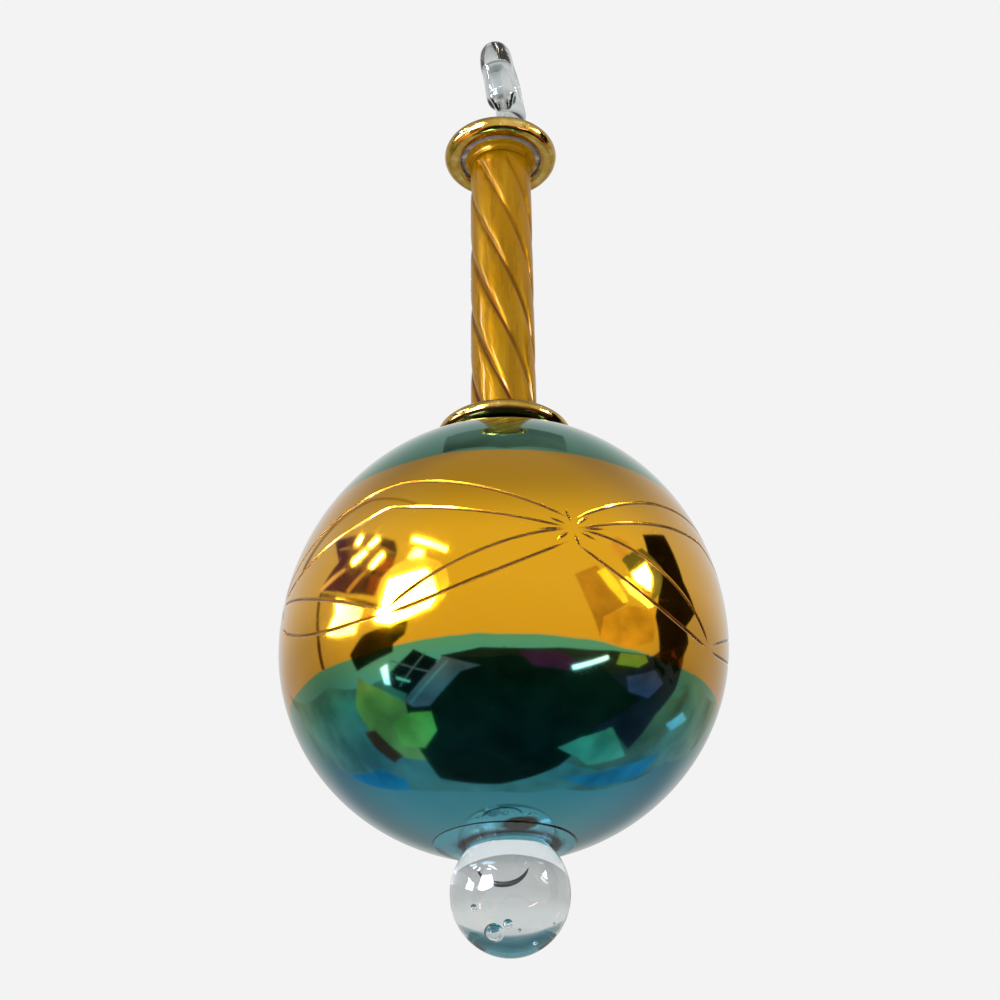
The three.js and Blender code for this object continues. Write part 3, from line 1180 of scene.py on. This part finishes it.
WHITE = (1, 1, 1.1)
FRAME_BROWN = (0.35, 0.28, 0.2)
PANE_RED = (0.42, 0.13, 0.3)
PANE_PINK = (0.7, 0.3, 0.4)
PANE_LIGHTS = [
    ((370, 340), (345, 385)), ((470, 350), (415, 402)), ((395, 428), (318, 500)), ((500, 442), (425, 528)),
]

# The cards seen on each close-up: name, distance, corners, colour and strength
CARDS = {
    LEFT_SIDE: [
        ("frame_line_a", 850, bar((20, 545), (430, 122), 14), FRAME_BROWN, 1),
        ("frame_line_b", 850, bar((430, 122), (700, 145), 14), FRAME_BROWN, 1),
        ("window_dark", 1000, [(215, 370), (420, 330), (570, 370), (585, 430), (520, 600), (490, 700),
         (280, 685), (120, 665), (235, 490)], (0.1, 0.05, 0.35), 1),
        ("window_red_a", 960, [(500, 465), (570, 470), (545, 560), (450, 555)], PANE_RED, 1),
        ("window_red_b", 960, [(425, 575), (520, 580), (500, 695), (405, 680)], PANE_RED, 1),
        *((f"pane_light_{i}", 920, bar(*ends, 22), WHITE, 45) for i, ends in enumerate(PANE_LIGHTS)),
        ("mullion_a", 920, bar((275, 535), (125, 665), 20), (0.9, 0.75, 0.9), 1),
        ("mullion_b", 920, bar((400, 545), (285, 675), 20), (0.8, 0.6, 0.8), 1),
        ("mullion_c", 920, bar((240, 420), (560, 440), 12), (0.6, 0.5, 0.8), 1),
        ("light_bar_a", 900, bar((675, 355), (880, 418), 30), WHITE, 45),
        ("light_bar_b", 900, [(695, 410), (745, 422), (735, 465), (815, 505), (800, 525), (648, 462)],
         WHITE, 30),
        ("glow", 890, [(530, 600), (640, 560), (760, 530), (805, 600), (825, 690), (780, 765), (650, 825),
         (540, 865), (450, 850), (440, 830), (495, 720)], (0.92, 0.94, 1.2), 75),
        ("sill", 880, bar((120, 688), (490, 758), 26), (0.16, 0.16, 0.2), 1),
        ("cream_panel", 950, [(215, 705), (375, 770), (330, 920), (230, 940), (160, 930), (215, 800)],
         WHITE, 25),
        ("post", 880, bar((122, 700), (112, 965), 16), (0.12, 0.1, 0.1), 1),
        ("post_foot", 880, bar((112, 965), (142, 1138), 20), (0.1, 0.06, 0.05), 1),
        ("dark_box", 930, [(655, 830), (630, 925), (560, 985), (560, 1030), (345, 1148), (300, 1050),
         (380, 925), (520, 870)], (0.015, 0.015, 0.01), 1),
    ],
    RIGHT_SIDE: [
        ("white_bar", 900, bar((105, 945), (322, 880), 26), (1.5, 0.8, 1.0), 8),
        ("olive_patch", 940, [(395, 855), (545, 870), (560, 910), (500, 945), (370, 925)],
         (1.37, 0.62, 0.1), 1),
        ("stone_patch", 940, [(430, 1000), (600, 960), (650, 1040), (560, 1130), (440, 1090)],
         (0.4, 0.15, 0.4), 1),
        ("right_wedge", 1000, [(525, 150), (655, 150), (770, 430), (842, 610), (785, 700), (800, 800),
         (762, 900), (712, 1075), (600, 1010), (545, 900), (625, 850), (600, 640), (620, 400), (560, 280)],
         (0.012, 0.01, 0.006), 1),
        ("right_brown", 1000, [(120, 385), (250, 330), (330, 430), (430, 565), (300, 640), (270, 760),
         (180, 520)], (0.55, 0.44, 0.4), 1),
        ("right_orange", 980, [(290, 640), (440, 575), (600, 600), (592, 790), (430, 832), (270, 770)],
         (0.84, 0.69, 0.5), 1),
        ("right_bar_a", 930, [(252, 368), (300, 345), (365, 420), (442, 548), (412, 562), (330, 470)],
         (1.25, 1.46, 1.0), 1.2),
        ("right_bar_b", 930, [(395, 425), (432, 400), (540, 515), (592, 580), (560, 588), (450, 500)],
         (1, 1, 0.9), 8),
        ("right_glow", 930, [(462, 375), (545, 318), (582, 400), (570, 485), (480, 425)], WHITE, 50),
        ("right_bar_c", 930, [(340, 170), (380, 165), (470, 215), (400, 300), (340, 260)],
         (1.05, 0.87, 1.2), 1),
        ("right_olive", 985, [(390, 290), (520, 230), (640, 350), (630, 500), (575, 560), (590, 400),
         (545, 315), (450, 370)], (0.21, 0.29, 0.5), 1),
    ],
    LOWER_SIDE: [
        ("panes_low", 940, [(360, 130), (430, 60), (455, 35), (550, 78), (500, 130), (430, 215), (370, 190)],
         (0.02, 0.015, 0.02), 1),
        ("pane_light", 900, [(322, 112), (350, 95), (362, 180), (340, 175)], (1.5, 0.8, 1.0), 6),
        ("pane_bar_a", 900, bar((385, 150), (440, 165), 9), (1, 1, 1), 1.5),
        ("pane_bar_b", 905, bar((360, 80), (540, 130), 6), PANE_PINK, 1),
        ("pane_bar_c", 905, bar((500, 50), (400, 185), 6), PANE_PINK, 1),
        ("frame_bars", 950, [(415, 245), (570, 62), (720, 100), (640, 125), (520, 262), (450, 268)],
         (0.8, 0.25, 0.35), 1),
        ("frame_bars_b", 900, bar((590, 80), (440, 255), 9), (1.1, 0.5, 0.6), 1),
        ("olive_wall", 1010, [(235, 150), (330, 200), (420, 245), (520, 280), (552, 330), (540, 400),
         (640, 465), (655, 500), (520, 480), (400, 465), (285, 370), (225, 270)], (1.3, 0.6, 0.15), 1),
        ("leaf_patch", 960, [(370, 335), (440, 290), (525, 285), (548, 360), (500, 430), (410, 420)],
         (1.3, 0.85, 0.15), 1),
        ("brown_bar", 940, [(262, 370), (300, 360), (415, 462), (380, 492), (300, 430)],
         (0.5, 0.06, 0.03), 1),
        ("blue_patch", 940, [(195, 540), (330, 515), (425, 560), (440, 600), (290, 585)],
         (0.1, 0.4, 0.62), 1),
        ("dark_top", 990, [(560, 60), (720, 28), (1040, 30), (1250, 40), (1400, 60), (1300, 130),
         (1050, 160), (620, 140)], (0.12, 0.05, 0.03), 1),
        ("plum_patch", 950, [(870, 40), (1040, 45), (1120, 90), (1080, 120), (930, 100)],
         (0.4, 0.03, 0.11), 1),
        ("dark_right", 1000, [(1060, 150), (1290, 75), (1540, 20), (1500, 200), (1420, 300), (1310, 435),
         (1240, 350), (1100, 420)], (0.1, 0.04, 0.06), 1),
        ("teal_patch", 950, [(1030, 430), (1120, 390), (1250, 348), (1300, 462), (1150, 500), (1110, 470)],
         (0.7, 0.72, 0.4), 1),
        ("turquoise", 900, [(1462, 335), (1530, 288), (1546, 318), (1482, 362)], (1.2, 1.4, 2.0), 1),
    ],
    WHOLE: [
        ("glow_wide", 895, oval(413, 588, 38, 29, math.radians(-28), 14), (1.0, 1.0, 1.2), 1.7),
        ("ground", 1150, [(288, 690), (300, 715), (325, 760), (360, 775), (400, 787), (450, 790), (500, 791),
         (560, 788), (625, 783), (665, 762), (700, 740), (718, 700)], (0.46, 0.42, 0.36), 1),
        ("bed_right", 1100, [(590, 700), (640, 705), (690, 690), (655, 745), (600, 770), (560, 760)],
         (0.5, 0.3, 0.2), 1),
        ("blue_right", 940, [(560, 776), (620, 766), (660, 752), (640, 775), (590, 786)],
         (0.12, 0.35, 0.5), 1),
        ("dark_screen", 970, [(420, 664), (460, 657), (510, 655), (560, 657), (600, 664), (640, 700),
         (600, 725), (560, 765), (500, 784), (440, 778), (415, 740), (405, 700)], (0.03, 0.03, 0.02), 1),
        ("beam", 1000, [(447, 437), (563, 436), (567, 452), (505, 448), (443, 453)], (0.2, 0.2, 0.18), 1),
    ],
}


def make_floor():
    half, level = FLOOR_HALF, FLOOR_LEVEL - EQUATOR
    corners = [(-half, -half, level), (half, -half, level), (half, half, level), (-half, half, level)]
    mesh = bpy.data.meshes.new("floor")
    mesh.from_pydata([tuple(p) for p in place(corners)], [], [(0, 1, 2, 3)])
    values = {"Base Color": (0.93, 0.93, 0.93, 1), "Roughness": 0.9, "Specular IOR Level": 0.1}
    mesh.materials.append(new_material("floor", values)[0])
    floor = put("floor", mesh)
    floor.visible_glossy = False


def make_studio():
    world = bpy.data.worlds.new("studio")
    bpy.context.scene.world = world
    world.use_nodes = True
    world.node_tree.nodes["Background"].inputs["Color"].default_value = PALE
    world.node_tree.nodes["Background"].inputs["Strength"].default_value = 1.0
    bpy.context.scene.view_settings.view_transform = "Standard"
    bpy.context.scene.view_settings.look = "None"
    make_floor()
    make_tent()
    for close_up, cards in CARDS.items():
        for name, distance, corners, colour, strength in cards:
            towards = [mirrored(close_up, corner, distance) for corner in corners]
            if name == "ground":
                towards += [direction(a, e) for a, e in GROUND_FRONT]
            item = card(name, distance, towards, (*colour, 1.0), strength)
            item.visible_transmission = max(colour) > DARKEST_SEEN_THROUGH and name != "ground"


MATERIALS = {
    "clear_glass": glass_material("clear_glass", srgb(236, 244, 246), 0.1),
    "bare_ring": glass_material("bare_ring", srgb(250, 242, 240), 0.1, 0.45),
    "seam": seam_material(),
    "gilt": gilt_material(),
    "gold_stem": stem_material(),
    "mirror_lustre": lustre_material(),
}

make_camera()
make_studio()
make_globe()
make_lower_disc()
make_stem()
make_upper_disc()
make_hook()
make_ball()
